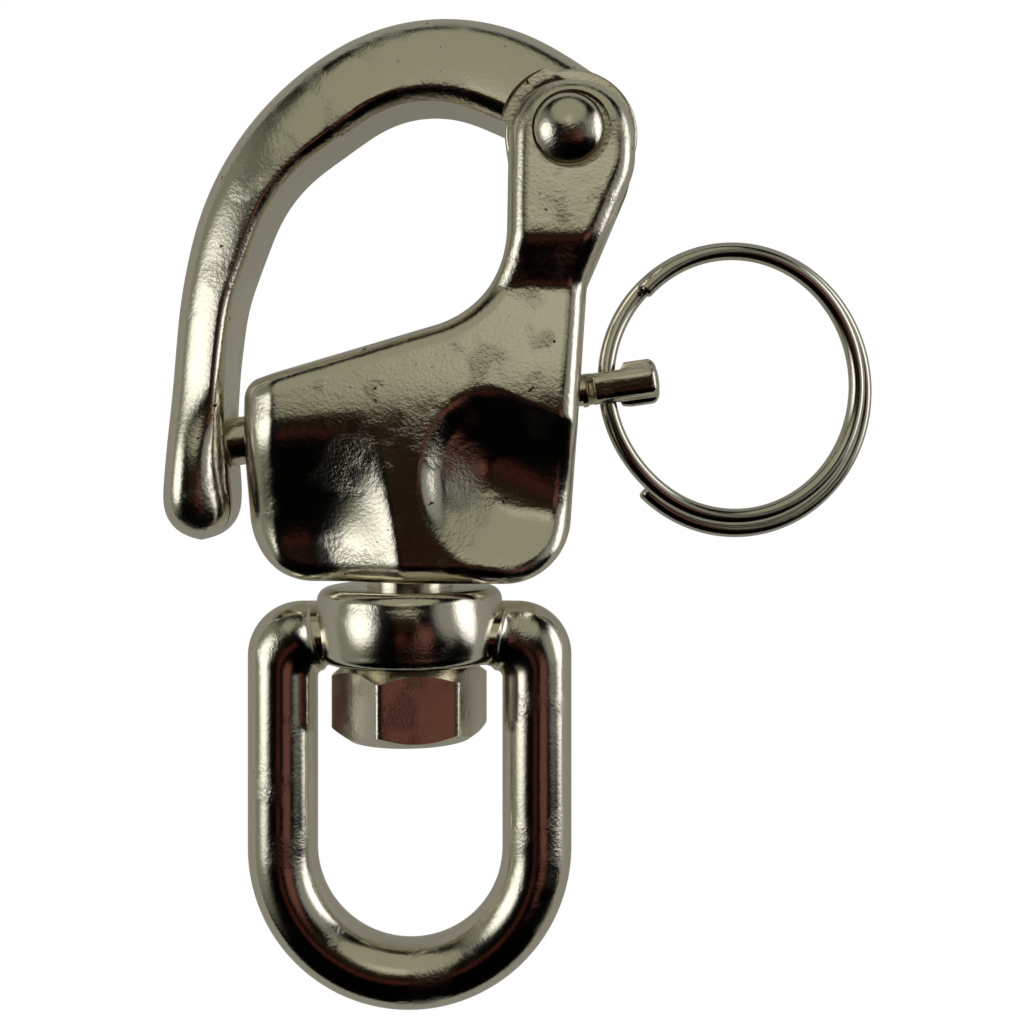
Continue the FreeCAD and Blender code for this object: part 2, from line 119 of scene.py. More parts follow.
@dataclass(frozen=True)
class MetalFinish:
    """A polished stainless surface: its tone, gloss, soft waviness, grain patches and stains.

    Sizes and depths are in millimetres. The starts and fulls of the patches and the stains
    are levels of their noise, which runs from nought to one.
    """

    name: str
    tone: str
    pit_tone: str
    roughness: float
    wave_size: float
    wave_depth: float
    pit_size: float
    pit_depth: float
    pit_spread: float
    pit_least: float
    mark_cover: float
    patch_size: float = 3.2
    patch_start: float = 0.62
    patch_full: float = 0.78
    stain_size: float = 0.55
    stain_start: float = 0.80
    stain_full: float = 0.84
    worn_roughness: float = 0.07

    def material(self) -> bpy.types.Material:
        """Build the finish as nodes on Object coordinates, with scales worked out from mm.

        Returns:
            The finished material.
        """
        made = bpy.data.materials.new(self.name)
        made.use_nodes = True
        tree = made.node_tree
        shader = tree.nodes["Principled BSDF"]
        shader.inputs["Metallic"].default_value = 1.0
        place = add_node(tree, "ShaderNodeTexCoord").outputs["Object"]
        wave = add_node(
            tree,
            "ShaderNodeTexNoise",
            {"Vector": place, "Scale": 1 / (self.wave_size * MM), "Detail": 1.0},
        ).outputs["Fac"]
        patches = add_node(
            tree,
            "ShaderNodeTexNoise",
            {"Vector": place, "Scale": 1 / (self.patch_size * MM), "Detail": 2.0},
        ).outputs["Fac"]
        # grain is strong inside the patches and faint outside them
        worn = add_node(
            tree,
            "ShaderNodeMapRange",
            {
                "Value": patches,
                "From Min": self.patch_start - self.pit_spread,
                "From Max": self.patch_full - self.pit_spread,
                "To Min": self.pit_least,
            },
            interpolation_type="SMOOTHSTEP",
        ).outputs["Result"]
        pits = add_node(
            tree,
            "ShaderNodeTexNoise",
            {"Vector": place, "Scale": 1 / (self.pit_size * MM), "Detail": 3.0, "Roughness": 0.6},
        ).outputs["Fac"]
        grain = add_node(
            tree, "ShaderNodeMath", {0: pits, 1: worn}, operation="MULTIPLY"
        ).outputs[0]
        # brownish spots about a fifth of a millimetre wide, where the metal holds a little stain
        stain = add_node(
            tree,
            "ShaderNodeTexNoise",
            {"Vector": place, "Scale": 1 / (self.stain_size * MM), "Detail": 1.0},
        ).outputs["Fac"]
        stained = add_node(
            tree,
            "ShaderNodeMapRange",
            {
                "Value": stain,
                "From Min": self.stain_start - self.mark_cover,
                "From Max": self.stain_full - self.mark_cover,
            },
        ).outputs["Result"]
        tone = add_node(
            tree,
            "ShaderNodeMix",
            {"Factor": stained, 6: linear(self.tone), 7: linear(self.pit_tone)},
            data_type="RGBA",
        ).outputs[2]
        gloss = add_node(
            tree,
            "ShaderNodeMapRange",
            {
                "Value": worn,
                "To Min": self.roughness,
                "To Max": self.roughness + self.worn_roughness,
            },
        ).outputs["Result"]
        soft = add_node(
            tree, "ShaderNodeBump", {"Height": wave, "Distance": self.wave_depth * MM}
        ).outputs["Normal"]
        fine = add_node(
            tree,
            "ShaderNodeBump",
            {"Height": grain, "Distance": self.pit_depth * MM, "Normal": soft},
        ).outputs["Normal"]
        tree.links.new(tone, shader.inputs["Base Color"])
        tree.links.new(gloss, shader.inputs["Roughness"])
        tree.links.new(fine, shader.inputs["Normal"])
        return made


# Investment-cast 316 stainless, barrel polished: a soft, slightly wavy mirror with a warm
# tone, fine grain left in patches and a few brown stains.
POLISHED_CASTING = MetalFinish(
    name="Barrel_polished_cast_stainless",
    tone="#EBE6D8",
    pit_tone="#6B4A2C",
    roughness=0.135,
    wave_size=2.4,
    wave_depth=0.022,
    pit_size=0.25,
    pit_depth=0.050,
    pit_spread=0.12,
    pit_least=0.30,
    mark_cover=0.04,
)
# The eye is cast and polished too, but handling has worn it smoother: sharper highlights
# along the bar and less grain.
POLISHED_EYE = MetalFinish(
    name="Polished_cast_stainless_eye",
    tone="#EBE6D8",
    pit_tone="#6B4A2C",
    roughness=0.115,
    wave_size=2.2,
    wave_depth=0.014,
    pit_size=0.22,
    pit_depth=0.034,
    pit_spread=0.10,
    pit_least=0.24,
    mark_cover=0.0,
)
# Turned and polished bar stock: flat faces reflect evenly, with hardly any grain.
TURNED_BRIGHT = MetalFinish(
    name="Turned_bright_stainless",
    tone="#E8E3D5",
    pit_tone="#7A5B3C",
    roughness=0.115,
    wave_size=1.6,
    wave_depth=0.012,
    pit_size=0.22,
    pit_depth=0.034,
    pit_spread=0.12,
    pit_least=0.40,
    mark_cover=-0.01,
)
# Drawn stainless wire: a thin bright line along it, softened by a faint satin from the die.
DRAWN_WIRE = MetalFinish(
    name="Drawn_stainless_wire",
    tone="#E2DED2",
    pit_tone="#7A5B3C",
    roughness=0.150,
    wave_size=0.9,
    wave_depth=0.006,
    pit_size=0.18,
    pit_depth=0.006,
    pit_spread=0.02,
    pit_least=0.10,
    mark_cover=-0.04,
)


def corner_path(corners: list[tuple[float, float, float]], step: float = 0.08) -> np.ndarray:
    """A line through corners that are rounded by tangent arcs.

    An arc's points blend its start and end by the sines of the angles left and gone, over
    the sine of the whole angle.

    Args:
        corners: x, y and radius of each corner; the two ends take no radius.
        step: spacing of the points.

    Returns:
        Points at an even spacing along the line, one row each.
    """
    spots = [np.array(c[:2], float) for c in corners]
    runs = [spots[0][None, :]]
    for before, (x, y, radius), after in zip(spots, corners[1:-1], spots[2:]):
        corner = np.array((x, y), float)
        back = (before - corner) / np.linalg.norm(before - corner)
        ahead = (after - corner) / np.linalg.norm(after - corner)
        half = math.acos(float(np.clip(back @ ahead, -1, 1))) / 2
        middle = (back + ahead) / np.linalg.norm(back + ahead)
        centre = corner + middle * radius / math.sin(half)
        start = corner + back * radius / math.tan(half) - centre
        end = corner + ahead * radius / math.tan(half) - centre
        turn = np.linspace(0, 1, ARC_POINTS)[:, None]
        sweep = math.pi - 2 * half
        blend = (np.sin((1 - turn) * sweep) * start + np.sin(turn * sweep) * end) / math.sin(sweep)
        runs.append(centre + blend)
    runs.append(spots[-1][None, :])
    return even_steps(np.vstack(runs), step)


def even_steps(points: np.ndarray, step: float) -> np.ndarray:
    """Space points evenly along the line that they draw.

    Args:
        points: the line's points, one row each.
        step: the spacing aimed at.

    Returns:
        The line's points at an even spacing.
    """
    length = arc_lengths(points)
    count = max(4, int(round(length[-1] / step)))
    return at_length(points, np.linspace(0, length[-1], count + 1))


def arc_lengths(points: np.ndarray) -> np.ndarray:
    """Distance along a line to each of its points."""
    return np.concatenate(([0.0], np.cumsum(np.linalg.norm(np.diff(points, axis=0), axis=1))))


def at_length(points: np.ndarray, lengths: np.ndarray) -> np.ndarray:
    """Points of a line at given distances along it."""
    known = arc_lengths(points)
    return np.stack([np.interp(lengths, known, column) for column in points.T], axis=1)


def soften(values: np.ndarray, width: int) -> np.ndarray:
    """Average rows with their neighbours under a bell curve, keeping the two ends in place.

    Args:
        values: one row for each point of a line.
        width: the bell's width in rows.

    Returns:
        The softened rows. Past each end the line goes on as its own turned copy.
    """
    reach = np.arange(-3 * width, 3 * width + 1)
    bell = np.exp(-((reach / width) ** 2) / 2)
    bell /= bell.sum()
    first, last = values[:1], values[-1:]
    before = 2 * first - values[1 : 3 * width + 1][::-1]
    after = 2 * last - values[-3 * width - 1 : -1][::-1]
    long = np.vstack((before, values, after))
    return np.stack([np.convolve(column, bell, mode="valid") for column in long.T], axis=1)


def soft_step(values: np.ndarray, low: float, high: float) -> np.ndarray:
    """Zero below low, one above high, and a smooth S between them."""
    t = np.clip((values - low) / (high - low), 0, 1)
    return t * t * (3 - 2 * t)


def soft_bend(values: np.ndarray, width: float) -> np.ndarray:
    """Zero below nought, the value itself above it, and a round bend of the given width."""
    return width * np.logaddexp(0, values / width)


def grid_faces(rows: int, cols: int, sides: Sides) -> np.ndarray:
    """Corner numbers of a grid's four-sided faces.

    Args:
        rows: number of rows of points.
        cols: number of points in a row.
        sides: whether rows close on themselves, and whether the last row meets the first.

    Returns:
        One row of four corner numbers per face.
    """
    row = np.arange(rows if sides is Sides.TORUS else rows - 1)
    col = np.arange(cols - 1 if sides is Sides.OPEN else cols)
    i, j = np.meshgrid(row, col, indexing="ij")
    up, along = (i + 1) % rows, (j + 1) % cols
    corners = (i * cols + j, i * cols + along, up * cols + along, up * cols + j)
    return np.stack(corners, -1).reshape(-1, 4)


def piece_from_grids(name: str, grids: list[tuple[np.ndarray, Sides]]) -> bpy.types.Object:
    """Make one object from grids of points in millimetres, welded where they meet.

    Args:
        name: the piece's name.
        grids: an array of shape rows, columns, 3 and how it closes, for each surface.

    Returns:
        The object at the origin, with faces outwards and smooth shading.
    """
    points, faces, used = [], [], 0
    for grid, sides in grids:
        rows, cols = grid.shape[:2]
        points.append(grid.reshape(-1, 3) * MM)
        faces.append(grid_faces(rows, cols, sides) + used)
        used += rows * cols
    mesh = bpy.data.meshes.new(name)
    mesh.from_pydata(np.vstack(points), [], np.vstack(faces))
    work = bmesh.new()
    work.from_mesh(mesh)
    bmesh.ops.remove_doubles(work, verts=work.verts, dist=WELD)
    bmesh.ops.recalc_face_normals(work, faces=work.faces)
    work.to_mesh(mesh)
    work.free()
    made = bpy.data.objects.new(name, mesh)
    bpy.context.scene.collection.objects.link(made)
    shade(made)
    return made


def shade(piece: bpy.types.Object) -> None:
    """Shade a piece smooth, with its edges sharp where faces meet at a real corner.

    Args:
        piece: the object to shade.
    """
    mesh = piece.data
    mesh.polygons.foreach_set("use_smooth", np.ones(len(mesh.polygons), bool))
    mesh.set_sharp_from_angle(angle=SHARP_ANGLE)
    mesh.update()


def cut(piece: bpy.types.Object, tool: bpy.types.Object, joined: bool = False) -> None:
    """Cut a piece with a tool, or join the tool to it, and remove the tool.

    Args:
        piece: the object that keeps the result.
        tool: a closed shape.
        joined: add the tool instead of taking it away.
    """
    step = piece.modifiers.new("Cut", "BOOLEAN")
    step.operation = "UNION" if joined else "DIFFERENCE"
    step.solver = "EXACT"
    step.object = tool
    bpy.context.view_layer.update()
    seen = piece.evaluated_get(bpy.context.evaluated_depsgraph_get())
    result = bpy.data.meshes.new_from_object(seen)
    piece.modifiers.clear()
    old = piece.data
    piece.data = result
    bpy.data.meshes.remove(old)
    result.name = piece.name
    bpy.data.objects.remove(tool)
    shade(piece)


def turned_about(profile: np.ndarray, count: int = 128) -> np.ndarray:
    """Carry a profile round the local Z axis.

    Args:
        profile: radius and height of each point, from pole to pole.
        count: points round the axis.

    Returns:
        A grid whose rows are circles: x = radius times cosine, y = radius times sine.
    """
    turn = np.linspace(0, 2 * math.pi, count, endpoint=False)
    radius, height = profile[:, :1], profile[:, 1:]
    return np.stack(
        (
            radius * np.cos(turn),
            radius * np.sin(turn),
            np.broadcast_to(height, (len(profile), count)),
        ),
        -1,
    )


def closed_ends(grid: np.ndarray) -> np.ndarray:
    """Close a tube's two ends with a point at the middle of its first and last circles.

    Args:
        grid: the tube's circles, one row each.

    Returns:
        The grid with one more row at each end.
    """
    first = np.broadcast_to(grid[0].mean(axis=0), grid[0].shape)[None]
    last = np.broadcast_to(grid[-1].mean(axis=0), grid[-1].shape)[None]
    return np.concatenate((first, grid, last))


def placed(grid: np.ndarray, turn: Matrix, spot: tuple[float, float, float]) -> np.ndarray:
    """Turn a grid by a rotation and move it to a spot."""
    return grid @ np.array(turn.to_3x3()).T + np.array(spot)


def tool_from(grid: np.ndarray) -> bpy.types.Object:
    """A closed cutting tool from one grid of circles."""
    return piece_from_grids("tool", [(grid, Sides.RING)])


def block_grid(low: tuple[float, float, float], high: tuple[float, float, float]) -> np.ndarray:
    """A plain box between two corners, as four square rings from pole to pole.

    Args:
        low: the lowest corner.
        high: the highest corner.

    Returns:
        A closed grid of four rows.
    """
    (x0, y0, z0), (x1, y1, z1) = low, high
    square = np.array([(x0, y0), (x1, y0), (x1, y1), (x0, y1)], float)
    middle = np.repeat(square.mean(axis=0)[None, :], 4, axis=0)
    rings = [(middle, z0), (square, z0), (square, z1), (middle, z1)]
    return np.stack([np.column_stack((ring, np.full(4, level))) for ring, level in rings])


def disc(
    radius: float, low: float, high: float, edge: float = 0.0, count: int = 128
) -> np.ndarray:
    """A round disc about Z with its two rims rounded by a quarter circle.

    Args:
        radius: the disc's radius.
        low: level of its lower face.
        high: level of its upper face.
        edge: radius of the rounded rims.
        count: points round the axis.

    Returns:
        A closed grid of circles.
    """
    turn = np.linspace(0, math.pi / 2, 9) if edge else np.array([0.0])
    flat = radius - edge
    lower = np.column_stack((flat + edge * np.sin(turn), low + edge - edge * np.cos(turn)))
    upper = np.column_stack((flat + edge * np.cos(turn), high - edge + edge * np.sin(turn)))
    profile = np.vstack(([(0.0, low)], lower, upper, [(0.0, high)]))
    return turned_about(profile, count)


def rotation(angle: float, axis: str) -> Matrix:
    """A rotation by an angle in degrees about X, Y or Z."""
    return Matrix.Rotation(math.radians(angle), 4, axis)


ALONG_Y = rotation(-90, "X")
UPSIDE_DOWN = rotation(180, "X")


def dress(
    piece: bpy.types.Object,
    node: str,
    body: str,
    material: bpy.types.Material,
) -> None:
    """Give a piece its material, parent it to its body and hide the node that it replaces.

    Args:
        piece: the finished object.
        node: the node that it replaces.
        body: the body that it moves with.
        material: the finish.
    """
    piece.data.materials.clear()
    piece.data.materials.append(material)
    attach(piece, body)
    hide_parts(node)
    log.info("%s: %d faces", piece.name, len(piece.data.polygons))


@dataclass(frozen=True)
class PinAxis:
    """The release pin's line, which rises to the right in the shackle's middle plane."""

    level: float = 30.5
    slope: float = 8.3

    def place(self, grid: np.ndarray, distance: float = 0.0) -> np.ndarray:
        """Lay a grid built about Z along the pin's line, a distance from the swivel axis."""
        turn = rotation(self.slope, "Z") @ rotation(90, "Y")
        return placed(grid, turn, self.at(distance))

    def direction(self) -> tuple[float, float, float]:
        """Unit vector along the line, towards the ring."""
        angle = math.radians(self.slope)
        return (math.cos(angle), math.sin(angle), 0.0)

    def at(self, distance: float) -> tuple[float, float, float]:
        """The point a distance along the line."""
        along_x, along_y, _ = self.direction()
        return (distance * along_x, self.level + distance * along_y, 0.0)


@dataclass
class ShackleBody:
    """The cast block with its neck and fork ears, the jaw's rivet and the pin's spring."""

    half_thick: float = 4.8
    rim: float = 1.5
    outline_points: int = 330
    wall_rows: int = 7
    rim_rows: int = 13
    top_rows: int = 46
    fork_half: float = 2.65
    fork_floor: float = 44.9
    pivot: tuple[float, float] = (11.4, 49.9)
    sink_radius: float = 2.72
    sink_floor: float = 3.75
    dome_radius: float = 2.5
    dome_top: float = 5.3
    dome_wall: float = 0.12
    dome_shift: float = 0.18
    dome_power: float = 1.85
    rivet_shaft: float = 1.8
    bolt_radius: float = 3.0
    bolt_end: float = 27.2
    bolt_gap: float = 0.02
    block_bottom: float = 18.9
    nose_radius: float = 1.75
    stem_radius: float = 1.1
    mouth_radius: float = 2.2
    bore_end: float = 8.6
    mouth_start: float = 11.2
    mouth_taper: float = 1.2
    bore_reach: float = 14.0
    spring_wire: float = 0.225
    spring_radius: float = 1.42
    spring_pitch: float = 1.3
    spring_run: tuple[float, float] = (-2.22, 8.32)
    spring_kept: float = 0.68
    upper_side: tuple[tuple[float, float, float], ...] = (
        (-11.2, 25.0, 0.0), (-11.3, 32.75, 1.5), (6.9, 38.2, 7.0), (7.15, 53.6, 4.2),
        (11.5, 53.6, 0.0),
    )
    upper_marks: tuple[tuple[float, float], ...] = (
        (-10.6, 32.2), (-2.0, 35.3), (6.0, 39.0), (7.2, 46.0), (8.5, 53.0),
    )
    lower_side: tuple[tuple[float, float, float], ...] = (
        (11.5, 53.6, 0.0), (15.8, 53.6, 4.2), (15.8, 47.4, 5.0), (12.5, 39.6, 4.0),
        (11.1, 18.9, 4.6), (-11.1, 18.9, 4.6), (-11.2, 25.0, 0.0),
    )
    lower_marks: tuple[tuple[float, float], ...] = (
        (14.6, 53.0), (15.6, 46.4), (12.4, 38.5), (10.4, 20.3), (-10.2, 20.2),
    )
    spine: tuple[tuple[float, float], ...] = (
        (-6.4, 25.6), (6.6, 27.0), (9.7, 35.0), (11.4, 46.0), (11.5, 49.6),
    )
    ridge_place: float = -10.0
    ridge_start: float = 29.7
    ridge_slope: float = 0.13
    band_fall: float = 0.155
    bends: tuple[tuple[float, float, float], ...] = (
        (0.475, 39.3, 0.22), (-0.385, 42.5, 0.22), (0.05, 49.5, 0.5),
    )
    bevel_fall: float = 0.45
    scoop_depth: float = 2.2
    scoop_run: tuple[float, float] = (-0.4, 8.7)
    scoop_wall: tuple[float, float] = (-7.4, -0.7)
    scoop_lean: float = 0.16
    scoop_level: float = 24.0
    left_bevel: float = -9.0
    dish_depth: float = 1.85
    dish_step: float = 0.36
    dish_spot: tuple[float, float] = (6.2, 25.9)
    dish_reach: tuple[float, float] = (6.6, 7.4)
    dish_turn: tuple[float, float] = (0.42, 0.91)
    dish_half: float = 5.5
    dish_start: float = 1.2
    dish_rim: tuple[float, float] = (0.74, 1.0)
    dish_side: tuple[float, float] = (0.22, 0.94)

    def ridge_level(self, x: np.ndarray) -> np.ndarray:
        """Level of the slanting ridge between the upper band and the hollows."""
        return self.ridge_start + self.ridge_slope * (x - self.ridge_place)

    def left_scoop(self, x: np.ndarray, y: np.ndarray) -> np.ndarray:
        """Depth of the left scoop.

        It deepens from the ridge to the lower edge and stops at a leaning wall by the rib.
        The wall is one less the share across it to the power 2.2, all to the power 1.5.

        Args:
            x: places to the right.
            y: places along the shackle.

        Returns:
            How far the scoop lies under the face.
        """
        run = soft_step(self.ridge_level(x) - y, *self.scoop_run)
        start, end = self.scoop_wall
        leaned = x + self.scoop_lean * (y - self.scoop_level)
        share = np.clip((leaned - start) / (end - start), 0, 1)
        wall = (1 - share**2.2) ** 1.5
        return self.scoop_depth * run * wall

    def right_dish(self, x: np.ndarray, y: np.ndarray) -> np.ndarray:
        """Depth of the right dish.

        A trough, one less the square of the distance along its slanting cross direction,
        inside an oval wall. A share of the wall falls in a steep step at the rim, and the
        rest slopes in gently.

        Args:
            x: places to the right.
            y: places along the shackle.

        Returns:
            How far the dish lies under the face.
        """
        off_x, off_y = x - self.dish_spot[0], y - self.dish_spot[1]
        left = np.minimum(off_x - self.dish_start, 0)
        rho = np.hypot(left / self.dish_reach[0], off_y / self.dish_reach[1])
        rim = self.dish_step * soft_step(rho, *self.dish_rim)
        wall = 1 - rim - (1 - self.dish_step) * soft_step(rho, *self.dish_side)
        along = (off_x * self.dish_turn[0] + off_y * self.dish_turn[1]) / self.dish_half
        return self.dish_depth * wall * (1 - np.clip(0.85 * along**2, 0, 1))

    def face(self, x: np.ndarray, y: np.ndarray) -> np.ndarray:
        """Height of the front face above the middle plane.

        A sum of soft bends: the upper band falls away from the ridge over the hollows, the
        neck rises again to the ear, and the ear falls a little to its tip. A bevel along
        the left edge and the two hollows are taken off.

        Args:
            x: places to the right.
            y: places along the shackle.

        Returns:
            The face's height.
        """
        height = self.half_thick - self.band_fall * soft_bend(y - self.ridge_level(x), 0.7)
        for slope, level, width in self.bends:
            height = height + slope * soft_bend(y - level, width)
        height = height - self.bevel_fall * soft_bend(self.left_bevel - x, 0.15)
        return height - self.left_scoop(x, y) - self.right_dish(x, y)

    def outline(self, count: int) -> tuple[np.ndarray, np.ndarray]:
        """The outline, with the spine's point that each outline point is drawn in to.

        Args:
            count: points on each long side.

        Returns:
            Outline points and spine points, going once round.
        """
        upper = corner_path(list(self.upper_side), 0.03)
        lower = corner_path(list(self.lower_side), 0.03)
        spine = np.array(self.spine)
        along = arc_lengths(spine) / arc_lengths(spine)[-1]
        stations = np.linspace(0, 1, count)
        up_marks = self.marks(upper, self.upper_marks)
        up_lengths = np.interp(stations, [0, along[1], along[2], along[3], 1], up_marks)
        low_marks = self.marks(lower, self.lower_marks)
        low_lengths = np.interp(
            stations, [0, along[1], along[2], along[3], 1], low_marks[::-1]
        )[::-1]
        left_fan = np.linspace(0, up_marks[0], count // 5)[:-1]
        tip_fan = np.linspace(up_marks[-1], arc_lengths(upper)[-1], count // 8)[1:]
        tip_fan_low = np.linspace(0, low_marks[0], count // 8)[1:-1]
        left_fan_low = np.linspace(low_marks[-1], arc_lengths(lower)[-1], count // 5)[1:-1]
        edge = np.vstack((
            at_length(upper, np.concatenate((left_fan, up_lengths, tip_fan))),
            at_length(lower, np.concatenate((tip_fan_low, low_lengths, left_fan_low))),
        ))
        shares = np.concatenate((
            np.zeros(len(left_fan)), stations, np.ones(len(tip_fan) + len(tip_fan_low)),
            stations[::-1], np.zeros(len(left_fan_low)),
        ))
        inner = at_length(spine, shares * arc_lengths(spine)[-1])
        return edge, inner

    def marks(self, line: np.ndarray, spots: tuple[tuple[float, float], ...]) -> np.ndarray:
        """Distances along a line to its nearest points to some spots."""
        gaps = np.linalg.norm(line[None, :, :] - np.array(spots)[:, None, :], axis=2)
        return arc_lengths(line)[gaps.argmin(axis=1)]

    def skin(self) -> list[tuple[np.ndarray, Sides]]:
        """The casting's skin: rows from the middle plane over the rounded rim to the spine.

        In the rim's width R a row lies d inside the outline, and its height is the face's,
        less R, plus the square root of R^2 - (R - d)^2. Inside that the rows are drawn in
        evenly to the spine.

        Returns:
            The front half and its mirror image, which meet in the middle plane.
        """
        edge, inner = self.outline(self.outline_points)
        turned = np.roll(edge, -1, axis=0) - np.roll(edge, 1, axis=0)
        turned = turned / np.linalg.norm(turned, axis=1)[:, None]
        inward = np.column_stack((turned[:, 1], -turned[:, 0]))
        swing = np.linspace(0, math.pi / 2, self.rim_rows)
        inset = self.rim * (1 - np.cos(swing))
        lift = self.rim * np.sin(swing) - self.rim
        top = self.face(edge[:, 0], edge[:, 1]) - self.rim
        rows = [
            np.column_stack((edge, share * top))
            for share in np.linspace(0, 1, self.wall_rows)[:-1]
        ]
        for step, rise in zip(inset, lift):
            flat = edge + inward * step
            rows.append(np.column_stack((flat, self.face(flat[:, 0], flat[:, 1]) + rise)))
        shore = edge + inward * self.rim
        for share in np.linspace(0, 1, self.top_rows)[1:]:
            flat = shore + (inner - shore) * share
            rows.append(np.column_stack((flat, self.face(flat[:, 0], flat[:, 1]))))
        front = np.stack(rows)
        back = front * np.array((1, 1, -1))
        return [(front, Sides.RING), (back, Sides.RING)]

    def casting(self, pin: PinAxis) -> bpy.types.Object:
        """The body with its fork slot, rivet sinks, pin bore and bolt bore.

        Args:
            pin: the release pin's line.

        Returns:
            The casting, not yet dressed.
        """
        made = piece_from_grids("shackle_casting", self.skin())
        x, y = self.pivot
        slot = block_grid(
            (x - 12, self.fork_floor, -self.fork_half), (x + 12, y + 12, self.fork_half)
        )
        cut(made, piece_from_grids("tool", [(slot, Sides.RING)]))
        sink = disc(self.sink_radius, self.sink_floor, self.half_thick + 2)
        for turn in (Matrix.Identity(4), UPSIDE_DOWN):
            cut(made, tool_from(placed(sink, turn, (x, y, 0.0))))
        bore = np.array([
            (0.0, -self.bore_reach), (self.nose_radius, -self.bore_reach),
            (self.nose_radius, self.bore_end), (self.stem_radius, self.bore_end),
            (self.stem_radius, self.mouth_start),
            (self.mouth_radius, self.mouth_start + self.mouth_taper),
            (self.mouth_radius, self.bore_reach), (0.0, self.bore_reach),
        ])
        cut(made, tool_from(pin.place(turned_about(bore, BORE_POINTS))))
        seat = disc(
            self.bolt_radius + self.bolt_gap, self.block_bottom - 3, self.bolt_end + self.bolt_gap
        )
        cut(made, tool_from(placed(seat, ALONG_Y, (0.0, 0.0, 0.0))))
        return made

    def rivet(self) -> bpy.types.Object:
        """The jaw's rivet: a low dome over each sink and the shaft between them.

        The dome is an ellipse arc with a power under two, which draws its crown up a little.
        It sits slightly off the shaft's middle, as a set rivet does.

        Returns:
            The rivet, not yet dressed.
        """
        swing = np.linspace(0, math.pi / 2, 28)
        power = 2 / self.dome_power
        radius = self.dome_radius * np.cos(swing) ** power
        base = self.sink_floor + self.dome_wall
        height = base + (self.dome_top - base) * np.sin(swing) ** power
        shaft = [
            (self.rivet_shaft, 0.0), (self.rivet_shaft, self.sink_floor),
            (self.dome_radius, self.sink_floor),
        ]
        upper = np.vstack((shaft, np.column_stack((radius, height))))
        profile = np.vstack((upper[::-1] * np.array((1, -1)), upper[1:]))
        spot = (self.pivot[0] - self.dome_shift, self.pivot[1] + self.dome_shift / 2, 0.0)
        grid = turned_about(profile, 144) + np.array(spot)
        return piece_from_grids("jaw_rivet_domed", [(grid, Sides.RING)])

    def spring(self, pin: PinAxis) -> bpy.types.Object:
        """The return spring: a round wire carried along a helix about the pin's line.

        Args:
            pin: the release pin's line.

        Returns:
            The spring, not yet dressed.
        """
        low, high = self.spring_run
        turns = (high - low) / self.spring_pitch
        angle = np.linspace(0, 2 * math.pi * turns, int(40 * turns))[:, None]
        ring = np.linspace(0, 2 * math.pi, 12, endpoint=False)
        out = self.spring_radius + self.spring_wire * np.cos(ring)
        height = low + angle * self.spring_pitch / (2 * math.pi) + self.spring_wire * np.sin(ring)
        coil = np.stack((out * np.cos(angle), out * np.sin(angle), height), -1)
        return piece_from_grids("return_spring_coil", [(pin.place(closed_ends(coil)), Sides.RING)])

    def build(self, pin: PinAxis, finishes: dict[str, bpy.types.Material]) -> None:
        """Build and dress the casting, its rivet and its spring.

        Args:
            pin: the release pin's line.
            finishes: the materials by name.
        """
        dress(self.casting(pin), "shackle_body", "body", finishes["casting"])
        dress(self.rivet(), "jaw_rivet", "body", finishes["turned"])
        spring = self.spring(pin)
        dress(spring, "plunger_spring", "body", finishes["wire"])
        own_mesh(spring)


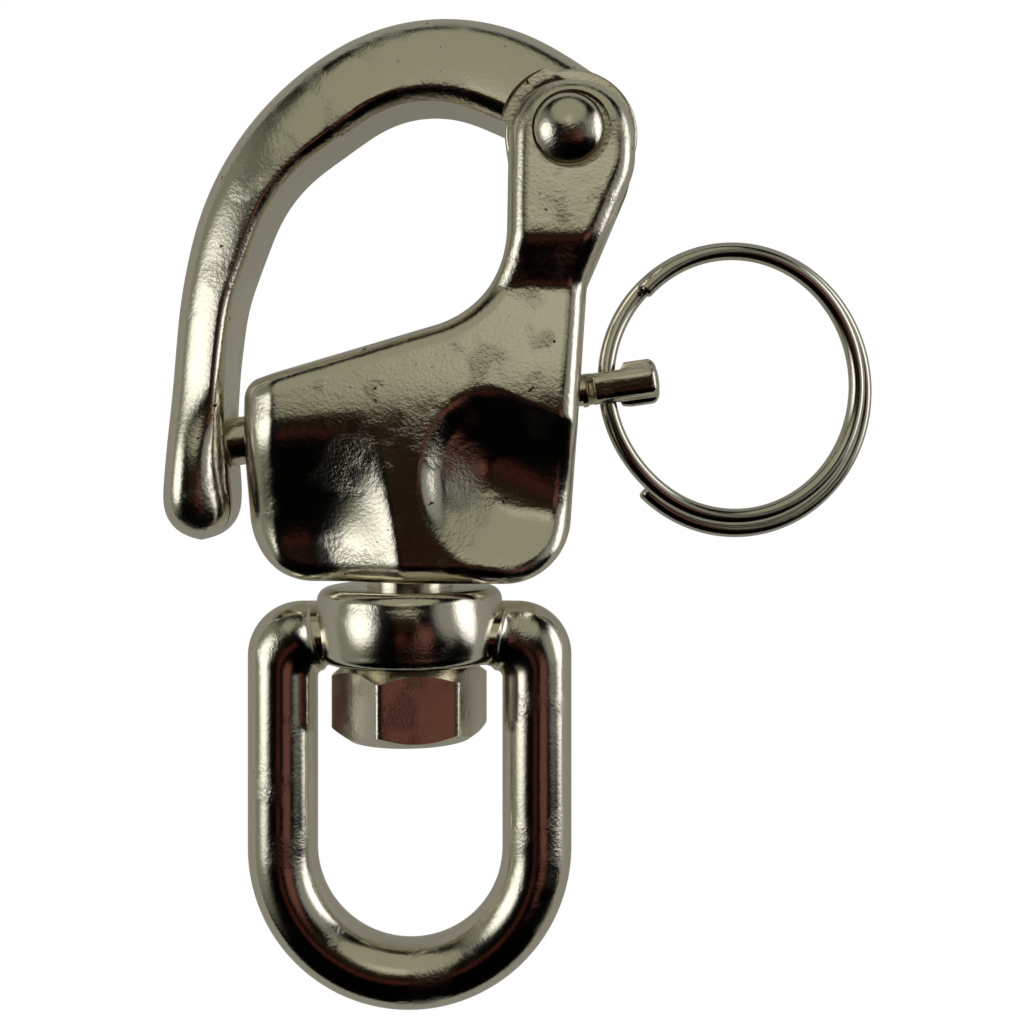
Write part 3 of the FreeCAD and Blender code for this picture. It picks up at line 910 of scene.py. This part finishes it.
@dataclass
class Jaw:
    """The curved bow with its pivot knuckle and the bulb that takes the pin's nose."""

    pivot: tuple[float, float] = (11.4, 49.9)
    knuckle_radius: float = 4.6
    knuckle_half: float = 2.5
    shoulder_radius: float = 4.95
    crest: float = 3.3
    crest_place: float = 0.16
    ridge: float = 2.5
    oval_power: float = 2.3
    lug_tip: float = 21.75
    lug_round: float = 3.4
    bulb_span: tuple[float, float] = (26.5, 33.0)
    bulb_reach: float = 4.2
    bulb_ridge: float = 0.48
    bulb_height: float = 3.75
    bulb_level: float = 26.3
    dish_floor: float = -13.2
    dish_floor_radius: float = 1.9
    dish_flare: float = 4.4
    dish_depth: float = 1.5
    socket_radius: float = 1.75
    socket_end: float = -15.6
    outer: tuple[tuple[float, float, float], ...] = (
        (13.2, 54.6, 0.0), (11.6, 55.7, 2.0), (2.8, 60.95, 15.1), (-13.4, 51.75, 22.0),
        (-16.15, 38.8, 40.0), (-17.5, 21.75, 2.6), (-14.7, 21.75, 0.0),
    )
    inner: tuple[tuple[float, float, float], ...] = (
        (13.2, 47.9, 0.0), (0.7, 53.45, 8.0), (-9.0, 46.5, 10.7), (-12.0, 38.4, 12.0),
        (-12.85, 31.5, 30.0), (-12.0, 21.75, 2.4), (-14.7, 21.75, 0.0),
    )

    def bow(self) -> np.ndarray:
        """The bow's skin, as D-shaped sections between its inner and outer lines.

        Across a section v runs from 0 at the inner wall to 1 at the outer side. The height
        rises from the ridge to the crest at v = 0.16, slopes gently down from there and rounds
        off to nothing at v = 1. Both ends close as the two lines meet. Down in the bulb the
        section turns into a full oval.

        Returns:
            A grid with one section in each row.
        """
        inner = soften(corner_path(list(self.inner), 0.08), 10)
        outer = soften(corner_path(list(self.outer), 0.04), 20)
        gaps = np.linalg.norm(inner[:, None, :] - outer[None, :, :], axis=2)
        near = np.maximum.accumulate(gaps.argmin(axis=1)).astype(float)
        near[0], near[-1] = 0, len(outer) - 1
        near = soften(near[:, None], 14)[:, 0]
        outer = at_length(outer, near / (len(outer) - 1) * arc_lengths(outer)[-1])
        crest, ridge = self.heights(inner, outer)
        v, tall, low = self.section()
        flat = inner[:, None, :] + (outer - inner)[:, None, :] * v[None, :, None]
        height = tall[None, :] * crest[:, None] + low[None, :] * ridge[:, None]
        across = np.abs(2 * np.clip(v, 0.06, 1) - 1)
        oval = np.clip(1 - across**self.oval_power, 0, 1) ** (1 / self.oval_power)
        round_share = np.where(v == 0, self.bulb_ridge * low, np.sign(tall + low) * oval)
        in_bulb = (1 - soft_step(inner[:, 1:], *self.bulb_span)) * (inner[:, :1] < 0)
        height = height * (1 - in_bulb) + round_share * crest[:, None] * in_bulb
        return np.concatenate((flat, height[:, :, None]), axis=2)

    def heights(self, inner: np.ndarray, outer: np.ndarray) -> tuple[np.ndarray, np.ndarray]:
        """Half-height of the crest and of the inner ridge at each section.

        A bell curve swells them at the bulb, and an arc rounds them off at the lug's end.

        Args:
            inner: points of the inner line.
            outer: the outer line's points across from them.

        Returns:
            The crest's and the ridge's half-heights.
        """
        middle = (inner + outer) / 2
        from_bulb = (middle[:, 1] - self.bulb_level) / self.bulb_reach
        swell = np.exp(-(from_bulb**2)) * (middle[:, 0] < 0)
        crest = self.crest + (self.bulb_height - self.crest) * swell
        from_tip = np.clip((middle[:, 1] - self.lug_tip) / self.lug_round, 0, 1)
        lug_end = np.where(middle[:, 0] < 0, from_tip, 1.0)
        round_end = np.sqrt(np.clip(1 - (1 - lug_end) ** 2.4, 0, 1))
        return crest * round_end, self.ridge * round_end

    def section(self) -> tuple[np.ndarray, np.ndarray, np.ndarray]:
        """One closed D section.

        Outside the crest the height is one less 0.36 of the share to the power 1.25, times
        one less the share to the power 5.5, all to the power one over the oval's.

        Returns:
            Place across the section, share of the crest's height and share of the ridge's.
        """
        peak = self.crest_place
        wall = np.linspace(-1, 1, 15)
        rise = np.linspace(0, 1, 8)[1:]
        fall = np.sin(np.linspace(0, math.pi / 2, 34))[1:]
        arch = (1 - 0.36 * fall**1.25) * (1 - fall**5.5) ** (1 / self.oval_power)
        beyond = peak + (1 - peak) * fall
        v = np.concatenate((
            np.zeros(15), rise * peak, beyond, beyond[::-1][1:], (rise * peak)[::-1],
        ))
        to_crest = 1 - (1 - rise) ** 2
        tall = np.concatenate((np.zeros(15), to_crest, arch, -arch[::-1][1:], -to_crest[::-1]))
        low = np.concatenate((wall, 1 - to_crest, np.zeros(65), -(1 - to_crest)[::-1]))
        return v, tall, low

    def build(self, pin: PinAxis, finishes: dict[str, bpy.types.Material]) -> None:
        """Build the bow, cut it to its knuckle, dish the bulb and dress it.

        Args:
            pin: the release pin's line.
            finishes: the materials by name.
        """
        x, y = self.pivot
        made = piece_from_grids("jaw_bow", [(closed_ends(self.bow()), Sides.RING)])
        relief = disc(self.shoulder_radius, self.knuckle_half, 6.0)
        for turn in (Matrix.Identity(4), UPSIDE_DOWN):
            cut(made, tool_from(placed(relief, turn, (x, y, 0.0))))
        knuckle = disc(self.knuckle_radius, -self.knuckle_half, self.knuckle_half, 0.25)
        cut(made, tool_from(placed(knuckle, Matrix.Identity(4), (x, y, 0.0))), joined=True)
        bore = disc(1.85, -4.0, 4.0)
        cut(made, tool_from(placed(bore, Matrix.Identity(4), (x, y, 0.0))))
        swing = np.linspace(0, 1, 12)
        widening = (self.dish_flare - self.dish_floor_radius) * swing**1.3
        flare = np.column_stack((
            self.dish_floor_radius + widening, self.dish_floor + self.dish_depth * swing,
        ))
        socket = [
            (0.0, self.socket_end), (self.socket_radius, self.socket_end),
            (self.socket_radius, self.dish_floor),
        ]
        mouth = np.vstack((socket, flare, [(self.dish_flare, -9.0), (0.0, -9.0)]))
        cut(made, tool_from(pin.place(turned_about(mouth, BORE_POINTS))))
        dress(made, "jaw", "jaw", finishes["casting"])


@dataclass
class ReleasePin:
    """The spring pin: its nose, stem and the flattened tab with a hole for the ring."""

    nose_tip: float = -13.15
    nose_end: float = -2.5
    nose_radius: float = 1.7
    stem_radius: float = 1.05
    tab_start: float = 12.3
    eye_spot: float = 14.05
    eye_radius: float = 1.8
    hole_radius: float = 1.25
    tab_end: float = 17.8
    tab_half: float = 1.6
    wing_half: float = 0.75
    bar_half: float = 1.12
    bulge_span: tuple[float, float] = (12.6, 13.3)
    wing_span: tuple[float, float] = (13.4, 15.9)
    end_round: float = 0.7
    end_share: float = 0.35
    edge: float = 0.2

    def build(self, pin: PinAxis, finishes: dict[str, bpy.types.Material]) -> None:
        """Build the pin, drill it for the ring and dress it.

        Args:
            pin: the release pin's line.
            finishes: the materials by name.
        """
        nose, edge, stem_end = self.nose_radius, self.edge, self.tab_start + 1.0
        shaft = np.array([
            (0.0, self.nose_tip), (nose - edge, self.nose_tip), (nose, self.nose_tip + edge),
            (nose, self.nose_end - edge), (nose - edge, self.nose_end),
            (self.stem_radius, self.nose_end), (self.stem_radius, stem_end), (0.0, stem_end),
        ])
        grid = pin.place(turned_about(shaft, BORE_POINTS))
        made = piece_from_grids("release_pin", [(grid, Sides.RING)])
        cut(made, tool_from(pin.place(self.tab())), joined=True)
        drill = disc(self.hole_radius, -6.0, 6.0)
        cut(made, tool_from(placed(drill, ALONG_Y, pin.at(self.eye_spot))))
        dress(made, "plunger_pin", "plunger", finishes["turned"])

    def tab(self) -> np.ndarray:
        """The tab's skin about the pin's line.

        At each distance the section is a round bar, which thickens round the ring's hole,
        joined softly to a thinner oval that widens into wings towards the end. Both are
        ovals of a given power, and the larger radius wins, by a sum of high powers.

        Returns:
            A grid closed at both ends.
        """
        run = np.linspace(0, 1, 90)[:, None]
        along = self.tab_start + (self.tab_end - self.tab_start) * run
        turn = np.linspace(0, 2 * math.pi, 144, endpoint=False)[None, :]
        side, face = np.abs(np.sin(turn)), np.abs(np.cos(turn))
        bulge = soft_step(along, *self.bulge_span)
        thick = self.stem_radius + (self.eye_radius - self.stem_radius) * bulge
        power = 2 + 1.6 * bulge
        bar = ((side / self.bar_half) ** power + (face / thick) ** power) ** (-1 / power)
        widening = soft_step(along, *self.wing_span)
        spread = self.bar_half + (self.tab_half - self.bar_half) * widening
        wing = ((side / spread) ** 3 + (face / self.wing_half) ** 3) ** (-1 / 3)
        radius = (bar**14 + wing**14) ** (1 / 14)
        tip = np.clip((self.tab_end - along) / self.end_round, 0, 1)
        rounded = np.sqrt(np.clip(1 - (1 - tip) ** 2.4, 0, 1))
        radius = radius * (self.end_share + (1 - self.end_share) * rounded)
        level = np.broadcast_to(along, radius.shape)
        return closed_ends(np.stack((radius * np.cos(turn), radius * np.sin(turn), level), -1))


@dataclass
class SplitRing:
    """The split ring: two turns of round wire that part on the side away from the pin."""

    hole_distance: float = 14.05
    radius: float = 10.19
    wire: float = 0.6
    stack: float = 0.58
    droop: float = 14.5
    first_end: float = 138.0
    last_end: float = -134.0
    spread: float = 0.62
    spread_turn: float = 32.0
    tip_share: float = 0.86

    def wire_line(self) -> tuple[np.ndarray, np.ndarray, np.ndarray]:
        """The wire's centre line in the ring's own plane.

        The angle falls from the front end over two turns to the back end. The height steps
        from the front turn to the back turn, as a smooth S, on the pin's side. The front
        turn is wound tighter, so that it shows inside the back one away from the pin.

        Returns:
            Angle, radius and height along the wire.
        """
        start = math.radians(self.first_end)
        finish = math.radians(self.last_end - 360)
        angle = np.linspace(start, finish, 760)
        stack_start, stack_end = math.radians(self.last_end), math.radians(self.first_end - 360)
        step = soft_step(-angle, -stack_start, -stack_end)
        height = self.stack * (1 - 2 * step)
        inward = self.spread * (1 + np.cos(angle + math.radians(self.spread_turn))) * (1 - step)
        return angle, self.radius - inward, height

    def build(self, pin: PinAxis, finishes: dict[str, bpy.types.Material]) -> None:
        """Carry a circle of wire along the line, hang the ring from the tab and dress it.

        Args:
            pin: the release pin's line.
            finishes: the materials by name.
        """
        angle, radius, height = self.wire_line()
        count = len(angle)
        round_wire = np.linspace(0, 2 * math.pi, 28, endpoint=False)[None, :]
        near = np.minimum(np.arange(count), np.arange(count)[::-1])[:, None]
        tip = np.where(near < 1, self.tip_share, 1.0)
        out = radius[:, None] + self.wire * tip * np.cos(round_wire)
        rise = height[:, None] + self.wire * tip * np.sin(round_wire)
        grid = np.stack((out * np.cos(angle)[:, None], out * np.sin(angle)[:, None], rise), -1)
        grid = closed_ends(grid) + np.array((self.radius, 0.0, 0.0))
        grid = placed(grid, rotation(self.droop, "Y"), pin.at(self.hole_distance))
        made = piece_from_grids("split_ring_wire", [(grid, Sides.RING)])
        dress(made, "split_ring", "ring", finishes["wire"])


@dataclass
class SwivelEye:
    """The swivel eye: a bent round bar with a barrel-shaped boss in its straight side."""

    bar: float = 2.45
    radius: float = 9.01
    level: float = 14.95
    outer_corner: float = 3.8
    inner_corner: float = 0.5
    boss_radius: float = 6.7
    boss_low: float = 13.2
    boss_high: float = 18.45
    boss_edge: float = 0.9
    barrel: float = 0.18
    seat_radius: float = 6.1
    bore: float = 3.05
    flare: float = 1.5
    flare_growth: float = 0.4

    def side_line(self, reach: float, level: float, corner: float) -> np.ndarray:
        """One outline of the eye: half a circle, two legs and a straight side.

        Args:
            reach: half the width, which is also the half circle's radius.
            level: level of the straight side.
            corner: radius of the two corners.

        Returns:
            Points once round, the same number for every outline.
        """
        swing = np.linspace(math.pi, 2 * math.pi, 181)
        low = reach * np.column_stack((np.cos(swing), np.sin(swing)))
        rise = np.column_stack((np.full(70, reach), np.linspace(0, level - corner, 71)[1:]))
        bend = np.linspace(0, math.pi / 2, 41)[1:]
        near = np.column_stack((
            reach - corner + corner * np.cos(bend), level - corner + corner * np.sin(bend),
        ))
        over = np.column_stack((np.linspace(reach - corner, 0, 71)[1:], np.full(70, level)))
        right = np.vstack((rise, near, over))
        left = right[::-1][1:] * np.array((-1, 1))
        return np.vstack((low, right, left))

    def build(self, finishes: dict[str, bpy.types.Material]) -> None:
        """Fill the space between two outlines with round sections, join the boss and dress it.

        Near the boss the sections grow taller by a fillet arc, so that the two flow into
        each other.

        Args:
            finishes: the materials by name.
        """
        outer = self.side_line(self.radius + self.bar, self.level + self.bar, self.outer_corner)
        inner = self.side_line(self.radius - self.bar, self.level - self.bar, self.inner_corner)
        line, half = (outer + inner) / 2, (outer - inner) / 2
        turn = np.linspace(0, 2 * math.pi, 72, endpoint=False)[None, :]
        gap = np.abs(line[:, 0]) - math.sqrt(self.boss_radius**2 - self.bar**2)
        near = np.where(line[:, 1] > self.level - 1.0, np.clip(1 - gap / self.flare, 0, 1), 0.0)
        grow = 1 + self.flare_growth * (1 - np.sqrt(1 - near**2))
        flat = line[:, None, :] + half[:, None, :] * np.cos(turn)[:, :, None]
        rise = self.bar * grow[:, None] * np.sin(turn)
        bar = np.concatenate((flat, rise[:, :, None]), axis=2)
        made = piece_from_grids("swivel_eye_bar", [(bar, Sides.TORUS)])
        cut(made, tool_from(placed(self.boss(), ALONG_Y, (0.0, 0.0, 0.0))), joined=True)
        seat = disc(self.seat_radius, self.boss_low - self.bar, self.boss_low)
        cut(made, tool_from(placed(seat, ALONG_Y, (0.0, 0.0, 0.0))))
        bore = disc(self.bore, self.boss_low - 1, self.boss_high + 1)
        cut(made, tool_from(placed(bore, ALONG_Y, (0.0, 0.0, 0.0))))
        dress(made, "swivel_bail", "eye", finishes["eye"])

    def boss(self) -> np.ndarray:
        """The boss as a barrel about its axis, its side a shallow bulge between round rims.

        The bulge is the barrel's rise times one less the square of the share from its middle.

        Returns:
            A closed grid of circles.
        """
        swing = np.linspace(0, math.pi / 2, 12)
        side, edge = self.boss_radius - self.barrel, self.boss_edge
        low = np.column_stack((
            side - edge + edge * np.sin(swing), self.boss_low + edge - edge * np.cos(swing),
        ))
        high = np.column_stack((
            side - edge + edge * np.cos(swing), self.boss_high - edge + edge * np.sin(swing),
        ))
        share = np.linspace(-1, 1, 18)[1:-1]
        centre = (self.boss_low + self.boss_high) / 2
        middle = np.column_stack((
            side + self.barrel * (1 - share**2),
            centre + share * (self.boss_high - self.boss_low - 2 * edge) / 2,
        ))
        profile = np.vstack(([(0.0, self.boss_low)], low, middle, high, [(0.0, self.boss_high)]))
        return turned_about(profile, 200)


@dataclass
class SwivelBolt:
    """The hex-headed swivel bolt."""

    flats: float = 9.7
    low: float = 7.8
    high: float = 13.1
    turn: float = 12.5
    shank: float = 3.0
    end: float = 27.2
    face_radius: float = 4.35
    chamfer: float = 36.0
    corner_soft: float = 44.0

    def build(self, finishes: dict[str, bpy.types.Material]) -> None:
        """Build the head with its shank and dress it.

        The head's radius is a hexagon's, made soft at its corners. Each chamfer is a cone,
        and a row of points lies exactly where cone and hexagon meet.

        Args:
            finishes: the materials by name.
        """
        turn = np.linspace(0, 2 * math.pi, 432, endpoint=False)
        sides = (np.arange(6)[:, None] + 0.5) * math.pi / 3
        reach = np.clip(np.cos(turn[None, :] - sides), 0.0, 1)
        hexagon = self.flats / 2 / (reach**self.corner_soft).sum(axis=0) ** (1 / self.corner_soft)
        drop = (hexagon - self.face_radius) * math.tan(math.radians(self.chamfer))
        rings = [
            (0.0, self.low), (self.face_radius, self.low), (hexagon, self.low + drop),
            (hexagon, self.low + drop + 0.02), (hexagon, self.high - drop - 0.02),
            (hexagon, self.high - drop), (self.face_radius, self.high),
            (self.shank, self.high), (self.shank, self.end), (0.0, self.end),
        ]
        radius = np.stack([np.broadcast_to(r, turn.shape) for r, _ in rings])
        height = np.stack([np.broadcast_to(h, turn.shape) for _, h in rings])
        grid = np.stack((radius * np.cos(turn), radius * np.sin(turn), height), -1)
        grid = placed(grid, ALONG_Y @ rotation(self.turn, "Z"), (0.0, 0.0, 0.0))
        made = piece_from_grids("swivel_bolt_hex", [(grid, Sides.RING)])
        dress(made, "swivel_bolt", "body", finishes["turned"])


@dataclass(frozen=True)
class Panel:
    """A soft round patch of studio light, placed by its direction from the object."""

    azimuth: float
    from_zenith: float
    full: float
    reach: float
    power: float
    colour: str

    def direction(self) -> tuple[float, float, float]:
        """Unit vector towards the panel's middle.

        Returns:
            Its x, y and z.
        """
        tilt, round_z = math.radians(self.from_zenith), math.radians(self.azimuth)
        flat = math.sin(tilt)
        return (flat * math.cos(round_z), flat * math.sin(round_z), math.cos(tilt))


@dataclass
class Studio:
    """Pale floor, soft panels round a dark ceiling, and the camera straight above."""

    floor_level: float = -6.7
    eye: tuple[float, float, float] = (9.9, 27.5, 97.3)
    middle: tuple[float, float] = (7.24, 23.7)
    view_width: float = 72.7
    sensor: float = 36.0
    panels: list[Panel] = field(default_factory=lambda: [
        Panel(178, 55, 6, 24, 1.3, "#FFFFFC"),
        Panel(175, 76, 26, 48, 0.21, "#F8FBDE"),
        Panel(12, 90, 20, 32, 1.4, "#FFFFFF"),
        Panel(12, 58, 14, 28, 0.24, "#FFFFF0"),
        Panel(90, 46, 31, 37, 0.31, "#FBFBDC"),
        Panel(90, 24, 3, 11, 0.16, "#FFFFF4"),
        Panel(-28, 25, 6, 15, 0.13, "#FFAC98"),
        Panel(-112, 13, 2, 9, 0.045, "#FF8F7C"),
        Panel(90, 12, 8, 20, 0.016, "#FFCB78"),
    ])

    def world(self) -> None:
        """A dark surround with soft panels; seen straight on it is plain white.

        A panel's light is full inside its first angle and fades to nothing at its reach.
        """
        world = bpy.data.worlds.new("Studio_surround")
        bpy.context.scene.world = world
        world.use_nodes = True
        tree = world.node_tree
        way = add_node(tree, "ShaderNodeTexCoord").outputs["Generated"]
        glow = None
        for panel in self.panels:
            aim = add_node(
                tree,
                "ShaderNodeVectorMath",
                {0: way, 1: panel.direction()},
                operation="DOT_PRODUCT",
            ).outputs["Value"]
            share = add_node(
                tree,
                "ShaderNodeMapRange",
                {"Value": aim, "From Min": math.cos(math.radians(panel.reach)),
                 "From Max": math.cos(math.radians(panel.full))},
                interpolation_type="SMOOTHSTEP",
            ).outputs["Result"]
            red, green, blue, _ = linear(panel.colour)
            lit = add_node(
                tree,
                "ShaderNodeVectorMath",
                {0: (red * panel.power, green * panel.power, blue * panel.power), "Scale": share},
                operation="SCALE",
            ).outputs["Vector"]
            if glow is not None:
                lit = add_node(
                    tree, "ShaderNodeVectorMath", {0: glow, 1: lit}, operation="ADD"
                ).outputs["Vector"]
            glow = lit
        seen = add_node(tree, "ShaderNodeLightPath").outputs["Is Camera Ray"]
        surround = add_node(tree, "ShaderNodeBackground", {"Color": glow})
        plain = add_node(tree, "ShaderNodeBackground", {"Color": (1.0, 1.0, 1.0, 1.0)})
        both = add_node(
            tree, "ShaderNodeMixShader", {0: seen, 1: surround.outputs[0], 2: plain.outputs[0]}
        )
        tree.links.new(both.outputs[0], tree.nodes["World Output"].inputs["Surface"])

    def floor(self) -> None:
        """A plain pale sheet under the object, as a grid far wider than the view."""
        side = np.linspace(-900, 900, 9)
        x, y = np.meshgrid(side, side, indexing="ij")
        level = np.stack((x, y, np.full_like(x, self.floor_level)), -1)
        sheet = piece_from_grids("studio_floor", [(level, Sides.OPEN)])
        # matt white background paper: plain white to the eye, a soft grey in the polished metal
        paper = bpy.data.materials.new("White_background_paper")
        paper.use_nodes = True
        tree = paper.node_tree
        matt = tree.nodes["Principled BSDF"]
        matt.inputs["Base Color"].default_value = linear("#B9B9B4")
        matt.inputs["Roughness"].default_value = 0.9
        matt.inputs["Emission Color"].default_value = linear("#FFFFF4")
        matt.inputs["Emission Strength"].default_value = 0.17
        seen = add_node(tree, "ShaderNodeLightPath").outputs["Is Camera Ray"]
        glow = add_node(
            tree, "ShaderNodeEmission", {"Color": (1.0, 1.0, 1.0, 1.0), "Strength": 1.0}
        )
        both = add_node(
            tree, "ShaderNodeMixShader", {0: seen, 1: matt.outputs[0], 2: glow.outputs[0]}
        )
        tree.links.new(both.outputs[0], tree.nodes["Material Output"].inputs["Surface"])
        sheet.data.materials.append(paper)

    def camera(self) -> None:
        """The camera straight above, with its view moved to the object's middle."""
        data = bpy.data.cameras.new("studio_camera")
        data.sensor_width = self.sensor
        data.lens = self.sensor * self.eye[2] / self.view_width
        data.shift_x = (self.middle[0] - self.eye[0]) / self.view_width
        data.shift_y = (self.middle[1] - self.eye[1]) / self.view_width
        data.clip_start = 0.005
        data.clip_end = 20.0
        seat = bpy.data.objects.new("studio_camera", data)
        seat.location = Vector(self.eye) * MM
        bpy.context.scene.collection.objects.link(seat)
        bpy.context.scene.camera = seat

    def build(self) -> None:
        """Set up the surround, the floor and the camera."""
        bpy.context.scene.view_settings.view_transform = "Standard"
        self.world()
        self.floor()
        self.camera()


def main() -> None:
    """Build the studio and every piece."""
    logging.basicConfig(level=logging.INFO, format="%(name)s %(message)s")
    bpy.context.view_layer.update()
    Studio().build()
    finishes = {
        "casting": POLISHED_CASTING.material(),
        "eye": POLISHED_EYE.material(),
        "turned": TURNED_BRIGHT.material(),
        "wire": DRAWN_WIRE.material(),
    }
    pin = PinAxis()
    ShackleBody().build(pin, finishes)
    Jaw().build(pin, finishes)
    ReleasePin().build(pin, finishes)
    SplitRing().build(pin, finishes)
    SwivelEye().build(finishes)
    SwivelBolt().build(finishes)


if __name__ == "__main__":
    main()
